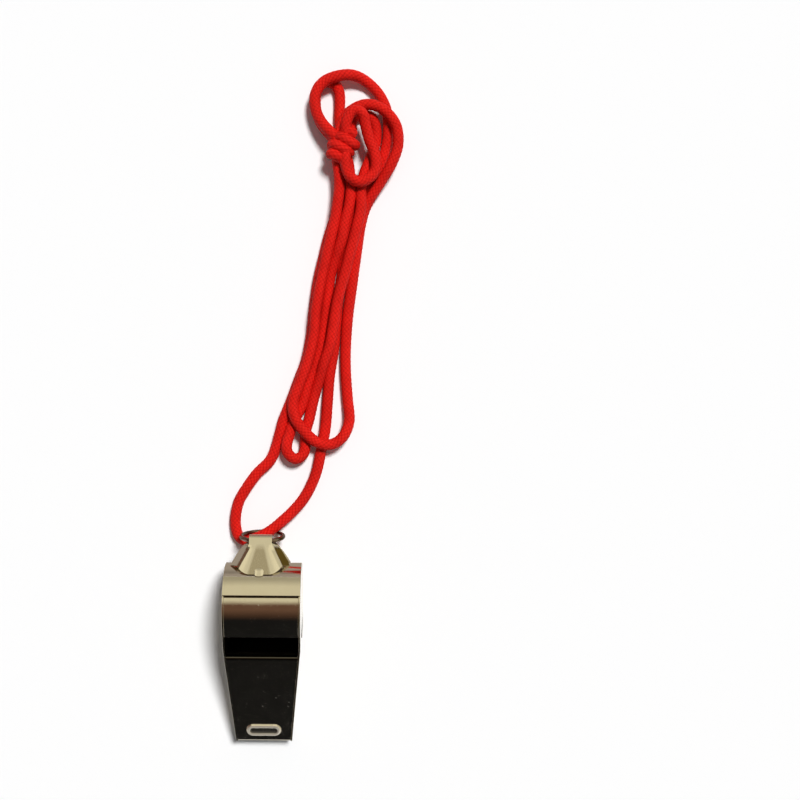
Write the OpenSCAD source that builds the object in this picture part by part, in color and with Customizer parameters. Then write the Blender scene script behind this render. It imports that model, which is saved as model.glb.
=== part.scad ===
// Pressed-metal pea whistle on a braided neck lanyard, in millimetres.
// It stands on its barrel and the underside of its mouth. +Z is up, +Y runs to the ring and the lanyard.
// The barrel, cheeks and mouthpiece are drawn in the whistle's own frame: u (Y) runs back from the mouth,
// w (Z) stands square to the roof, and the barrel's axis is the origin. seat() then tips it on the surface.

/* [Barrel] */
// Outer diameter of the barrel
barrel_d = 20; // [17:0.5:24]
// Width over the two cheeks
body_w = 18.4; // [15:0.2:22]
// Thickness of the pressed sheet
sheet_t = 0.45; // [0.35:0.05:0.6]
// Angle of the lap seam behind the roof's normal
seam_deg = 46; // [35:1:60]
// Length of wind cutter that lies under the lap
lap_l = 2; // [1:0.5:3]
// Distance of the wind cutter's edge in front of the barrel's axis
cutter_reach = 2.8; // [2:0.1:3.5]
// Length of the bevel that sharpens the wind cutter
cutter_bevel = 1.4; // [0.8:0.1:2]

/* [Mouthpiece] */
// Distance from the barrel's axis to the tip
mouth_l = 33.8; // [28:0.2:40]
// How far the roof lies below the top of the barrel
roof_drop = 0.2; // [0:0.1:0.6]
// Height of the mouthpiece at its tip
tip_h = 5.5; // [5:0.1:7]
// Height of the mouthpiece where its floor meets the barrel
throat_h = 8.3; // [7:0.1:9]
// Width over the cheeks at the tip
tip_w = 13.8; // [11:0.2:17]
// Distance in front of the barrel's axis where the cheeks start to taper
taper_start = 6.5; // [5:0.5:8]
// Length of the window along the roof
window_l = 5.6; // [4.6:0.1:7]
// Height of the windway's slit
slit_h = 1.3; // [0.9:0.1:1.8]
// Radius of the rolled rear edge of the roof
lip_r = 0.9; // [0.7:0.1:1.2]
// How far the slit's lower edge stays back under that rolled edge
slit_back = 0.6; // [0:0.1:0.8]
// Length of the windway plate in front of the slit's lower edge
windway_l = 13.6; // [10:0.2:18]

/* [Tooth grip] */
// Length of the raised oval across the roof
grip_l = 8.5; // [6:0.5:10]
// Width of the raised oval along the roof
grip_w = 3.5; // [2.5:0.1:4.5]
// Distance from the tip to the middle of the oval
grip_inset = 3.6; // [2.6:0.1:6]
// Radius of the raised bead
grip_bead = 0.45; // [0.3:0.05:0.45]

/* [Ring lug] */
// How far the lug stands out from the barrel
lug_reach = 6.95; // [6:0.1:9]
// How far off the middle of the whistle's width the lug is soldered
lug_shift = -0.75; // [-1.5:0.25:1.5]
// Width of the lug's neck, which is also the length of its eye
neck_w = 5.5; // [4:0.1:6.5]
// Width of each leg over its two flanges
base_w = 14; // [11:0.5:16]
// Width of the flat face of each leg between its two folds, at the corners
face_w = 11; // [8:0.5:12]
// Width of the stretch of each leg that is soldered to the barrel
seat_w = 4.4; // [3:0.2:6]
// How far the corners of the face stand back from the soldered stretch, along the leg
face_arc = 2; // [1:0.1:2.6]
// Angle between the lug's middle and the base of each leg, seen from the barrel's axis
base_deg = 33; // [28:0.5:36]
// How far the side flanges fall away at their outer corners
flange_drop = 2; // [1:0.1:2.6]
// Diameter of the spot weld on the upper leg
weld_d = 2; // [1.4:0.1:2.6]

/* [Lanyard ring] */
// Outer diameter of the ring
ring_d = 11.3; // [10:0.1:13]
// Diameter of its wire
wire_d = 1.1; // [0.8:0.1:1.4]
// Running clearance between wire and eye
eye_clear = 0.15; // [0.1:0.05:0.3]
// Angle at which the ring leans away from the whistle
ring_lean = 6; // [0:1:12]
// Gap between the hanging ring and the surface
ring_lift = 0.15; // [0.1:0.05:0.5]

/* [Pea] */
// Diameter of the cork pea
pea_d = 10.4; // [9:0.2:11]
// Smallest gap between the pea and the chamber
pea_clear = 0.3; // [0.2:0.05:0.5]

/* [Lanyard] */
// Diameter of the cord's solid, a little under the braid's so that its runs stay apart
cord_d = 2; // [1.6:0.1:2.1]
// Length of each strand that wraps the knot
knot_wrap_l = 7; // [5:0.5:8]
// Diameter of the knot's core
knot_core_d = 4.4; // [3.6:0.2:5]

/* [Hidden] */
$fn = 96;

nickel = [0.78, 0.76, 0.7];
nickel_dark = [0.62, 0.6, 0.56];
cork = [0.72, 0.52, 0.33];
cord_red = [0.86, 0.07, 0.08];
cord_red_dark = [0.74, 0.05, 0.07];

// Gap left between soldered sheets
fit_gap = 0.05;
// Overrun of every cut
over = 1;

barrel_r = barrel_d / 2;
inner_r = barrel_r - sheet_t;
cutter_in_r = inner_r - sheet_t;
half_w = body_w / 2;
tip_half = tip_w / 2;
roof_w = barrel_r - roof_drop;
tip_low = roof_w - tip_h;
throat_low = roof_w - throat_h;
window_u = cutter_reach + window_l;
slit_u = window_u + slit_back;
lip_w = roof_w - lip_r - slit_h;

// The floor plate's fall along the mouthpiece
floor_fall = (tip_low - throat_low) / (mouth_l - barrel_r);
function floor_at(u) = tip_low - (u + mouth_l) * floor_fall;

// The tilt that puts both the barrel and the tip's lower edge on the surface
rest_tilt = asin(barrel_r / norm([mouth_l, tip_low])) + atan2(tip_low, mouth_l);

// The ring's wire is curved, so it sits half its sagitta off the middle of the straight eye
wire_r = wire_d / 2;
ring_r = (ring_d - wire_d) / 2;
sagitta = ring_r - sqrt(pow(ring_r, 2) - pow(neck_w / 2, 2));
eye_r = sagitta / 2 + wire_r + eye_clear;
eye_out = eye_r + sheet_t;
eye_p = barrel_r + lug_reach - eye_out;
ring_hang = ring_r - sagitta / 2;
eye_z = ring_hang + ring_r + wire_r + ring_lift;
lug_rise = asin((eye_z - barrel_r) / eye_p);
eye_y = eye_p * cos(lug_rise);

// The origin lies under the middle of the whistle's length
front_y = -mouth_l * cos(rest_tilt) - roof_w * sin(rest_tilt);
rear_y = max(eye_y + eye_out, eye_y + (ring_hang + ring_r) * sin(ring_lean) + wire_r);
axis_y = -(front_y + rear_y) / 2;

pea_orbit = cutter_in_r - pea_clear - pea_d / 2;

echo(rest_tilt = rest_tilt, axis_y = axis_y, eye_y = axis_y + eye_y, eye_z = eye_z, eye_r = eye_r);

// The barrel's axis, at rest
module at_axis() translate([0, axis_y, barrel_r]) children();

// The whistle's own frame, tipped on to the surface
module seat() at_axis() rotate([rest_tilt, 0, 0]) children();

// A side outline in u and w, carried across the whistle
module side(width, outline) rotate([90, 0, 90])
    linear_extrude(height = width, center = true) polygon(outline);

// A cylinder across the whistle
module across(r, width) rotate([0, 90, 0]) cylinder(r = r, h = width, center = true);

// A tube across the whistle
module hoop(r, thick, width) {
    difference() {
        across(r, width);
        across(r - thick, width + over);
    }
}

// A wedge across the whistle from angle a to angle b, measured from w towards u
module wedge(a, b, far, width) {
    turns = [for (i = [0:4]) a + (b - a) * i / 4];
    side(width, concat([[0, 0]], [for (t = turns) far * [sin(t), cos(t)]]));
}

// The plan between the two cheeks, as a prism
module between_cheeks() {
    x = half_w - sheet_t - fit_gap;
    tip_x = tip_half - sheet_t - fit_gap;
    translate([0, 0, -barrel_d]) linear_extrude(height = 2 * barrel_d)
        polygon([[x, barrel_d], [x, -taper_start], [tip_x, -mouth_l], [-tip_x, -mouth_l],
            [-x, -taper_start], [-x, barrel_d]]);
}

// Barrel

// The wide band laps over the edges of the cheeks; its front end is a narrow wall up to the windway
module barrel_band() color(nickel) seat() {
    difference() {
        hoop(barrel_r, sheet_t, body_w);
        wedge(-90, seam_deg, 2 * barrel_d, body_w + over);
    }
    intersection() {
        side(body_w, [[-barrel_r, 0], [-inner_r, 0], [-slit_u, lip_w - sheet_t - fit_gap],
            [-slit_u - sheet_t, lip_w - sheet_t - fit_gap]]);
        between_cheeks();
    }
}

// Strip from under the lap to the edge that splits the air
module wind_cutter() color(nickel) seat() {
    width = body_w - 2 * (sheet_t + fit_gap);
    lap_deg = lap_l / inner_r * 180 / PI;
    intersection() {
        hoop(inner_r, sheet_t, width);
        wedge(0, seam_deg + lap_deg, barrel_d, width);
    }
    side(width, [[0, inner_r], [-cutter_reach, inner_r], [-cutter_reach, inner_r - sheet_t / 4],
        [-cutter_reach + cutter_bevel, cutter_in_r], [0, cutter_in_r]]);
}

// One cheek: a disc and the side of the mouthpiece, bent inwards where the taper starts
module cheek(hand) {
    intersection() {
        union() {
            across(inner_r, body_w);
            side(body_w, [[0, inner_r], [-window_u, roof_w], [-mouth_l, roof_w], [-mouth_l, tip_low],
                [-barrel_r, throat_low], [-barrel_r, 0], [0, 0]]);
        }
        translate([0, 0, -barrel_d]) linear_extrude(height = 2 * barrel_d)
            polygon([for (p = [[half_w, barrel_d], [half_w, -taper_start], [tip_half, -mouth_l],
                [tip_half - sheet_t, -mouth_l], [half_w - sheet_t, -taper_start],
                [half_w - sheet_t, barrel_d]]) [hand * p.x, p.y]]);
    }
}

module left_cheek() color(nickel_dark) seat() cheek(-1);

module right_cheek() color(nickel_dark) seat() cheek(1);

// Mouthpiece

// A raised oval bead for the teeth, lying across the roof
module tooth_grip() {
    end_r = grip_w / 2 - grip_bead;
    run = grip_l / 2 - grip_bead - end_r;
    translate([0, -mouth_l + grip_inset, roof_w]) {
        for (s = [-1, 1]) {
            translate([0, s * end_r, 0]) across(grip_bead, 2 * run);
            translate([s * run, 0, 0]) rotate([0, 0, -90 * s]) rotate_extrude(angle = 180)
                translate([end_r, 0]) circle(r = grip_bead);
        }
    }
}

module mouthpiece_roof() color(nickel) seat() {
    intersection() {
        union() {
            side(body_w, [[-mouth_l, roof_w], [-window_u - lip_r, roof_w],
                [-window_u - lip_r, roof_w - sheet_t], [-mouth_l, roof_w - sheet_t]]);
            translate([0, -window_u - lip_r, roof_w - lip_r]) intersection() {
                hoop(lip_r, sheet_t, body_w);
                wedge(0, 90, 2 * lip_r, body_w);
            }
        }
        between_cheeks();
    }
    tooth_grip();
}

module mouthpiece_floor() color(nickel_dark) seat() intersection() {
    end_u = -barrel_r - fit_gap;
    side(body_w, [[-mouth_l, tip_low], [end_u, floor_at(end_u)], [end_u, floor_at(end_u) + sheet_t],
        [-mouth_l, tip_low + sheet_t]]);
    between_cheeks();
}

// Rises from the floor to the slit, over the top of the barrel's front wall
module windway_plate() color(nickel_dark) seat() intersection() {
    start_u = -slit_u - windway_l;
    start_w = floor_at(start_u) + sheet_t + fit_gap;
    knee_u = -slit_u - 2 * sheet_t;
    side(body_w, [[start_u, start_w], [knee_u, lip_w - sheet_t], [-slit_u, lip_w - sheet_t],
        [-slit_u, lip_w], [knee_u, lip_w], [start_u, start_w + sheet_t]]);
    between_cheeks();
}

// Lug and ring

// The lug's frame: Y points out along the lug, Z is square to its middle
module at_lug() at_axis() translate([lug_shift, 0, 0]) rotate([lug_rise, 0, 0]) children();

// The point at a share t of the way down a leg, from the neck to the barrel
function on_leg(t) =
    let (neck = [eye_p - eye_r / 2, eye_out - sheet_t],
        base = [barrel_r * cos(base_deg) - sheet_t, barrel_r * sin(base_deg)])
    neck + (base - neck) * t;

// Where a leg's corners are
leg_l = norm(on_leg(1) - on_leg(0));
corner_t = 1 - face_arc / leg_l;

// A slip of sheet across a leg, from x0 to x1, falling by drop
module slip(x0, x1, t, drop = 0) {
    p = on_leg(t);
    translate([x0, p[0], p[1]]) cube([sheet_t / 2, sheet_t, sheet_t]);
    translate([x1 - sheet_t / 2, p[0], p[1] - drop]) cube([sheet_t / 2, sheet_t, sheet_t]);
}

// A leg of the folded strip: a flat face like a fan, and two flanges that fall away
module lug_leg() {
    translate([-neck_w / 2, on_leg(0)[0], on_leg(0)[1]]) cube([neck_w, eye_r / 2, sheet_t]);
    hull() {
        slip(-neck_w / 2, neck_w / 2, 0);
        slip(-face_w / 2, face_w / 2, corner_t);
        slip(-seat_w / 2, seat_w / 2, 1);
    }
    for (s = [0, 1]) mirror([s, 0, 0]) hull() {
        slip(neck_w / 2 - sheet_t, neck_w / 2, 0);
        slip(face_w / 2 - sheet_t, base_w / 2, corner_t, flange_drop);
    }
}

module ring_lug() color(nickel) at_lug() difference() {
    union() {
        translate([0, eye_p, 0]) across(eye_out, neck_w);
        lug_leg();
        mirror([0, 0, 1]) lug_leg();
        translate([0, barrel_r * cos(base_deg), barrel_r * sin(base_deg)]) sphere(d = weld_d);
    }
    across(barrel_r, 2 * body_w);
    translate([0, eye_p, 0]) across(eye_r, neck_w + over);
}

// Hangs in the eye, leaning out by its lean
module lanyard_ring() color(nickel_dark) translate([lug_shift, axis_y + eye_y, eye_z])
    rotate([ring_lean, 0, 0]) translate([0, 0, -ring_hang]) rotate([90, 0, 0])
        rotate_extrude() translate([ring_r, 0]) circle(r = wire_r, $fn = 32);

// Pea

module cork_pea() color(cork) at_axis() translate([0, 0, -pea_orbit]) sphere(d = pea_d);

// Lanyard

// Heights of the cord's middle: runs on the surface, runs on top of them, and those on top of both
low = 1.2;
top = 3.7;
high = 6.3;

// One long loop: from the knot down the left edge, round the big bottom loop, up the right edge and back
outer_route = [[17, 118.5, top], [17.5, 114.5, top], [17.5, 110, top], [16.5, 103, top], [15, 96.5, top],
    [13.5, 89.5, top], [12, 81, top], [11.5, 74.5, top], [10, 68, top], [8, 62.5, top], [6.5, 58, top],
    [7, 54, top], [9.5, 50.5, top], [12.5, 48, top], [16, 47.5, top], [19, 49.5, 3.3], [20.5, 53.5, 2.2],
    [20, 59, low], [19.5, 66, low], [19.5, 72.5, low], [20, 80, low], [21, 88, low], [22, 95.5, low],
    [23, 102.5, low], [24.5, 107.5, 1.5], [27.6, 112.5, 2.8], [30.4, 117, top], [32.1, 122, top],
    [31.5, 127, top], [28.3, 130.8, top], [24.3, 132, top], [20.5, 130.5, top], [18.5, 128, top],
    [17.5, 124.5, top]];

// From the knot down the middle, round the small curl, and up over the bundle
curl_route = [[19.5, 118.5, 3.6], [20, 116, top], [20.5, 111, top], [20, 106.5, top], [19, 102.5, top],
    [18.5, 99, top], [17.5, 96, 3.2], [16.5, 93, 2.1], [15.5, 89.5, 1.4], [15, 85, low], [14.5, 81.5, low],
    [13.6, 75, low], [12.3, 68.5, low], [10.1, 62.5, low], [8.5, 57, low], [6.5, 53, low], [5.6, 50, 2.3],
    [4.9, 47, 3.1], [5.4, 45, 3.1], [7.1, 43.8, 2.8], [8.8, 44.6, 2.2], [9.5, 46.5, 1.6], [9.5, 50, low],
    [10.5, 54, low], [11.5, 58.5, low], [12.75, 63, 1.8], [14, 67.5, 3.1], [15.5, 72, top], [16.5, 78, top],
    [17.5, 84, top], [19, 89.5, top], [20.5, 95.5, top], [22, 101.5, top], [23, 106.5, top], [23, 111, top],
    [23.8, 115, 3.4], [25.3, 119, 2.6], [26.6, 123, 1.5], [26.6, 127, low], [25.4, 129.4, low],
    [23, 130, low], [21.1, 129, 1.5], [20.5, 127.4, 2.2], [20.5, 125, 3.4]];

// From the knot round the top loop, down the bundle, through the ring, up again and under the knot
ring_route = [[15.5, 124.5, 5.2], [13, 127.5, 4.2], [11.5, 131, top], [11.5, 134.5, top],
    [13.5, 137.5, top], [17, 139, top], [20.7, 139.5, 2.8], [24.1, 138.3, 1.6], [27.2, 135.4, low],
    [29.2, 131.5, low], [29.7, 127.5, low], [29.5, 123, low], [28.2, 118.5, low], [26.3, 114.5, low],
    [23, 110, low], [21, 106, low], [20, 101.5, low], [19.5, 96, low], [18.5, 90, low],
    [17.5, 83.5, low], [17, 77.5, low], [16.5, 71, low], [15.5, 64.5, low], [15, 58, low],
    [14.5, 51.5, low], [13.5, 46, low], [12.5, 41, low], [11, 37, low], [9, 33.5, 1.5], [6.5, 30.6, 2],
    [4, 28.3, 2.6], [1.6, 26.3, 3], [-0.9, 24.8, 3.1], [-3.2, 23.8, 2.9], [-5.2, 23.3, 2.4],
    [-6.9, 24.3, 1.9], [-7.7, 26.4, 1.5], [-7.8, 29.3, 1.3], [-7, 33, low], [-5, 36.5, low],
    [-2.5, 40, low], [0.5, 43, low], [2, 46, low], [3, 49.5, low], [4.05, 53.5, low], [5.8, 58, low],
    [7.6, 63, low], [9.6, 68.5, low], [10.8, 74.5, low], [11.5, 81.5, low], [12.5, 88.5, low],
    [14, 95, low], [15.5, 101, low], [17.5, 107, low], [18, 112.5, low], [18, 118.5, low],
    [18, 124, low], [17.5, 129, low], [17.6, 133, low], [17.4, 135.6, low], [16.4, 137.5, low],
    [14.5, 138.2, low], [12.6, 137.4, low], [11.6, 135.4, low], [11.5, 132, low], [12.3, 129, low],
    [13.8, 126.5, 1.5], [15.5, 124.5, 2.1]];

// The short bight on top of the knot
bight_route = [[19, 118.5, 6.1], [19.3, 115.7, high], [20.4, 113.3, high], [22.6, 112.3, 6.2],
    [24.9, 113.3, 5.8], [26.5, 115.6, 5.4], [26.3, 119.4, 5.3], [24.9, 123, 5.3], [23.9, 126.5, 5.8],
    [23.3, 128.8, high], [21.8, 129.8, high], [20.3, 129.1, high], [19.3, 127, high], [19, 124.5, 5.9]];

knot_at = [18.5, 121.5, 4.7];

// Slope of the smooth curve through the points, at one of them
function slope_at(p, i) = p[min(i + 1, len(p) - 1)] - p[max(i - 1, 0)];

// One ring of the tube, square to the route
function cord_ring(p, i, r, sides) =
    let (t = slope_at(p, i) / norm(slope_at(p, i)), e = cross(t, [0, 0, 1]) / norm(cross(t, [0, 0, 1])),
        n = cross(e, t))
    [for (k = [0:sides - 1]) p[i] + r * (cos(360 * k / sides) * e + sin(360 * k / sides) * n)];

// A closed tube of triangles along a route
module cord(route, sides = 6) {
    count = len(route);
    polyhedron(
        points = [for (i = [0:count - 1]) each cord_ring(route, i, cord_d / 2, sides)],
        faces = concat([[for (k = [0:sides - 1]) k]],
            [for (i = [0:count - 2], k = [0:sides - 1], h = [0, 1])
                let (a = i * sides + k, b = i * sides + (k + 1) % sides)
                h == 0 ? [a, a + sides, b] : [b, a + sides, b + sides]],
            [[for (k = [sides - 1:-1:0]) (count - 1) * sides + k]]));
}

// The routes' least gap, between strands and from each one back to itself, measured on their points and
// on the middles of their stretches; a strand's own points closer along it than two bends are passed over
function walked(p) = [for (i = 0, l = 0; i < len(p);
    l = l + (i < len(p) - 1 ? norm(p[i + 1] - p[i]) : 0), i = i + 1) l];
function halved(p) = concat([for (i = [0:len(p) - 2]) each [p[i], (p[i] + p[i + 1]) / 2]], [p[len(p) - 1]]);
function gap_between(p, q) = min([for (a = halved(p), b = halved(q)) norm(a - b)]) - cord_d;
function gap_to_self(p) = let (h = halved(p), l = walked(h), last = len(h) - 1)
    min([for (i = [0:last], j = [i + 1:1:last]) if (l[j] - l[i] > 4 * cord_d) norm(h[i] - h[j])]) - cord_d;

routes = [ring_route, outer_route, curl_route, bight_route];
echo(least_gap_to_self = [for (p = routes) gap_to_self(p)]);
echo(least_gap_between = [for (i = [0:2], j = [i + 1:3]) gap_between(routes[i], routes[j])]);

module lanyard_ring_loop() color(cord_red) cord(ring_route);

module lanyard_outer_loop() color(cord_red) cord(outer_route);

module lanyard_curl_loop() color(cord_red_dark) cord(curl_route);

module lanyard_bight() color(cord_red) cord(bight_route);

// A core with three strands wrapped aslant over it
module lanyard_knot() color(cord_red_dark) translate(knot_at) {
    rod(knot_core_d / 2, knot_wrap_l / 2, 90);
    for (i = [-1:1]) translate([0, i * cord_d, cord_d / 4]) rod(cord_d * 0.6, knot_wrap_l - cord_d, 35);
}

// A rod with round ends, lying flat at an angle
module rod(r, run, turn) rotate([0, 0, turn]) {
    rotate([0, 90, 0]) cylinder(r = r, h = run, center = true, $fn = 32);
    for (s = [-1, 1]) translate([s * run / 2, 0, 0]) sphere(r = r, $fn = 32);
}

barrel_band();
wind_cutter();
left_cheek();
right_cheek();
mouthpiece_roof();
mouthpiece_floor();
windway_plate();
ring_lug();
lanyard_ring();
cork_pea();
lanyard_ring_loop();
lanyard_outer_loop();
lanyard_curl_loop();
lanyard_bight();
lanyard_knot();
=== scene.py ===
"""Looks of the pea whistle and its neck lanyard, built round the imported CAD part.

Everything is in metres, in the part's own frame: the whistle stands on its barrel and its mouth,
+Y runs from the mouth to the ring and the lanyard, +Z is up.
"""

import math

import bpy
import numpy as np
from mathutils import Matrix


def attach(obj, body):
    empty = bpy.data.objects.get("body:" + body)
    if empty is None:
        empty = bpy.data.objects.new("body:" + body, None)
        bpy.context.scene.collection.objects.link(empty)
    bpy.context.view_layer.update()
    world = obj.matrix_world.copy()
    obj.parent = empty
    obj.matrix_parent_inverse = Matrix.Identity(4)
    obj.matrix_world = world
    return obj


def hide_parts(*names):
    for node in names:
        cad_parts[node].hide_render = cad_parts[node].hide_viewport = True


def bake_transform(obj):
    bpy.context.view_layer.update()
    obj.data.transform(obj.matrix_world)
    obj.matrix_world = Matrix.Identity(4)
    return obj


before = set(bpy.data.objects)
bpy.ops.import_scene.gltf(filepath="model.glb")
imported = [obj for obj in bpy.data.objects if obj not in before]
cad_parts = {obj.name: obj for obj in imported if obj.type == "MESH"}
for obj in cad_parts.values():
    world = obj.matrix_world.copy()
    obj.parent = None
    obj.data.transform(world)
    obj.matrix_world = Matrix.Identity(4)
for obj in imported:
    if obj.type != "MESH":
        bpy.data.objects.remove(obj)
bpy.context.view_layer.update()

MM = 0.001

# The whistle's sizes, as in the part's source. In its own frame u runs back from the mouth and w up, both
# from the barrel's axis, and it is tipped by REST_TILT about that axis on to the surface
BARREL_R = 10 * MM
HALF_W = 9.2 * MM
SHEET = 0.45 * MM
SEAM_DEG = 46
LAP = 2 * MM
CUTTER_REACH = 2.8 * MM
MOUTH_L = 33.8 * MM
ROOF_W = 9.8 * MM
TIP_LOW = 4.3 * MM
THROAT_LOW = 1.5 * MM
# Angle at which the cheek's arc ends, just short of the throat
THROAT_DEG = 268
TIP_HALF = 6.9 * MM
TAPER_START = 6.5 * MM
WINDOW_U = 8.4 * MM
SLIT_U = 9 * MM
LIP_R = 0.5 * MM
LIP_DROP = 0.9 * MM
LIP_W = 7.6 * MM
WINDWAY_L = 13.6 * MM
FIT = 0.05 * MM
TIP_ROUND = 0.5 * MM
# How softly the painted shade in the lip's bend ends
LIP_SHADE_EDGE = 0.15 * MM
REST_TILT = math.radians(24.3173)
AXIS = np.array([0, 8.93658, 10]) * MM
INNER_R = BARREL_R - SHEET

# Widths of the broken edges: a pressed sheet's, the front wall's and a cut bar's
EDGE = 0.1 * MM
WALL_EDGE = 0.05 * MM
BAR_EDGE = 0.08 * MM
# Points closer than these are one: at the cheek's fold, and at the pea's poles
FOLD_JOIN = 0.01 * MM
POLE_JOIN = 0.002 * MM

CUTTER_BEVEL = 1.4 * MM
SOLDER_W = 0.45 * MM
SOLDER_RISE = 0.3 * MM

# The tooth grip's: the place of its middle, its length, its width over the bead, the bead's and the dish's
# height, and half the length of roof that has the fine grid
GRIP_U = -30.2 * MM
GRIP_L = 8.5 * MM
GRIP_W = 3.4 * MM
GRIP_BEAD = 0.55 * MM
GRIP_DISH = 0.2 * MM
GRIP_FINE = 2.1 * MM

# The lug's and the ring's. The lug's frame starts at the barrel's axis, with y out along its middle
LUG_SHIFT = -0.75 * MM
LUG_RISE = math.radians(1.852)
EYE_P = 15.3975 * MM
EYE_R = 1.10247 * MM
EYE_OUT = EYE_R + SHEET
NECK_W = 5.5 * MM
BASE_W = 14 * MM
FACE_W = 11 * MM
SEAT_W = 4.4 * MM
FACE_ARC = 2 * MM
BASE_DEG = 33
# Length of straight neck before the eye's middle that leaves room for the ring
RING_ROOM = 0.32 * MM
# Width of the facet between the soft crease and the face's edge, the width in which a crease bends, and
# the slopes down to the crease, on that facet and on the flange
CREASE_W = 0.95 * MM
FOLD_W = 0.12 * MM
SHOULDER_SLOPE, CREASE_SLOPE, FLANGE_SLOPE = 0.21, 0.51, 1.33
# Half the flat, worn width at the neck and at the barrel, and how softly its finish ends
WORN_NECK = 0.75 * MM
WORN_BASE = 2.2 * MM
WORN_EDGE = 0.6 * MM
WELD_R = 1.15 * MM
WELD_RISE = 0.15 * WELD_R
EYE = np.array([-0.75, 24.326, 10.4975]) * MM
RING_R = 5.1 * MM
RING_HANG = 4.6975 * MM
WIRE_R = 0.55 * MM
RING_LEAN = math.radians(6)

PEA_R = 5.2 * MM
PEA_AT = np.array([0, 8.93658, 6.4]) * MM

# The cord's, with the height of its middle on the surface, where its yarn gives a little
CORD_D = 2.75 * MM
LYING = 0.47 * CORD_D
CORD_STEP = 0.2 * MM
# Heights in the routes, in mm as the routes are: on the surface, on one run and on two
LOW, TOP, HIGH = 1.2, 3.7, 6.3

# The photograph's side, the lens and the shift, in its pixels
PHOTO_SIDE = 800
FOCAL_PX = 1060
SHIFT_PX = 56.5
CAMERA_AT = np.array([19, 58.54, 267]) * MM
CAMERA_ROLL = math.radians(0.4)
# The sun shines from here towards the origin
SUN_AT = (0.18, 0.30, 0.62)


# Camera and light

def add_camera():
    """The photograph's view: straight down from above the middle of the whistle and lanyard,
    with the frame's middle beside them on the right."""
    camera = bpy.data.objects.new("camera", bpy.data.cameras.new("camera"))
    bpy.context.scene.collection.objects.link(camera)
    camera.location = CAMERA_AT
    camera.rotation_euler = (0, 0, CAMERA_ROLL)
    camera.data.sensor_width = 36
    camera.data.lens = camera.data.sensor_width * FOCAL_PX / PHOTO_SIDE
    camera.data.shift_x = SHIFT_PX / PHOTO_SIDE
    camera.data.clip_start = 0.01
    bpy.context.scene.camera = camera


def add_sun():
    """One key light, steep and from the upper right, so that short shadows fall to the lower
    left. Its mirror image is left to the cards."""
    lamp = bpy.data.lights.new("key_light", "SUN")
    lamp.energy = 3.1
    lamp.angle = math.radians(14)
    sun = bpy.data.objects.new("key_light", lamp)
    bpy.context.scene.collection.objects.link(sun)
    sun.location = SUN_AT
    sun.rotation_euler = (-sun.location).to_track_quat("-Z", "Y").to_euler()
    sun.visible_glossy = False


add_camera()
add_sun()
bpy.context.scene.view_settings.view_transform = "Standard"


# Materials

def linear(code, alpha=1.0):
    """An sRGB hex colour as the linear values that the shaders take."""
    parts = [int(code[i:i + 2], 16) / 255 for i in (0, 2, 4)]
    return [p / 12.92 if p <= 0.04045 else ((p + 0.055) / 1.055) ** 2.4 for p in parts] + [alpha]


def add_node(tree, kind, inputs=None, stops=(), **settings):
    """Adds a node with its properties, links or sets its inputs, and gives a colour ramp its
    stops as (position, linear colour)."""
    node = tree.nodes.new(kind)
    for name, value in settings.items():
        setattr(node, name, value)
    for name, value in (inputs or {}).items():
        if isinstance(value, bpy.types.NodeSocket):
            tree.links.new(value, node.inputs[name])
        else:
            node.inputs[name].default_value = value
    for k, (position, colour) in enumerate(stops):
        band = node.color_ramp.elements
        element = band[k] if k < len(band) else band.new(1)
        element.position = position
        element.color = colour
    return node


def grey(value):
    """A grey as a linear colour."""
    return (value, value, value, 1)


def new_material(name):
    """An empty node material, its tree, and the object's own coordinates in it."""
    material = bpy.data.materials.new(name)
    material.use_nodes = True
    tree = material.node_tree
    tree.nodes.clear()
    return material, tree, add_node(tree, "ShaderNodeTexCoord").outputs["Object"]


def finished(material, shader):
    """The material, with its shader joined to the output."""
    add_node(material.node_tree, "ShaderNodeOutputMaterial", {"Surface": shader})
    return material


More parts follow.
